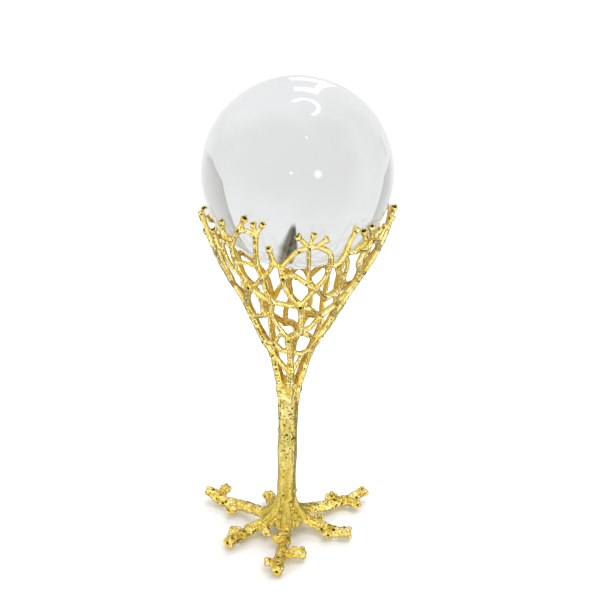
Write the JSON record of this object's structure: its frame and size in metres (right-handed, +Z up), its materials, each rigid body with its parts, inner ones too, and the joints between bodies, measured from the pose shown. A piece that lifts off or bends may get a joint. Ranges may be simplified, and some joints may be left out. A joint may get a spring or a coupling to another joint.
{
  "type": "crystal ball on a stand",
  "caption": "Clear crystal ball resting in an openwork golden coral basket on a slender bark-textured stem with spreading root feet.",
  "frame": {"origin": "on the floor, straight under the centre of the ball", "axes": "+Z up; -Y towards the viewer's side, +X to the viewer's right; the stem stands 2 mm towards -X"},
  "size_m": [0.1026, 0.1065, 0.2636],
  "materials": {
    "crystal": "polished clear crystal",
    "coral_gold": "polished, warm yellow gold",
    "root_gold": "polished, warm yellow gold",
    "bark_gold": "satin, bark texture",
    "steel": "zinc plated",
    "pad": "clear soft rubber, matt",
    "bumper": "clear soft rubber, gloss"
  },
  "bodies": {
    "stand": {"basket_collar": "bark_gold", "stem": "bark_gold", "root_hub": "bark_gold", "root_back_left": "root_gold", "root_front_left": "root_gold", "root_front": "root_gold", "root_right": "root_gold", "root_back_right": "root_gold", "root_back": "root_gold", "spray_front": "coral_gold", "spray_front_left": "coral_gold", "spray_front_right": "coral_gold", "spray_back_right": "coral_gold", "spray_back": "coral_gold", "spray_back_left": "coral_gold", "tie_rod": "steel", "flat_washer": "steel", "spring_washer": "steel", "rod_nut": "steel", "foot_pads": "pad", "seat_bumpers": "bumper"},
    "ball": {"crystal_ball": "crystal"}
  },
  "joints": [
    {"name": "ball_lift", "type": "slide", "parent": "stand", "child": "ball", "axis": [0, 0, 1], "range_m": [0, 0.06]}
  ]
}
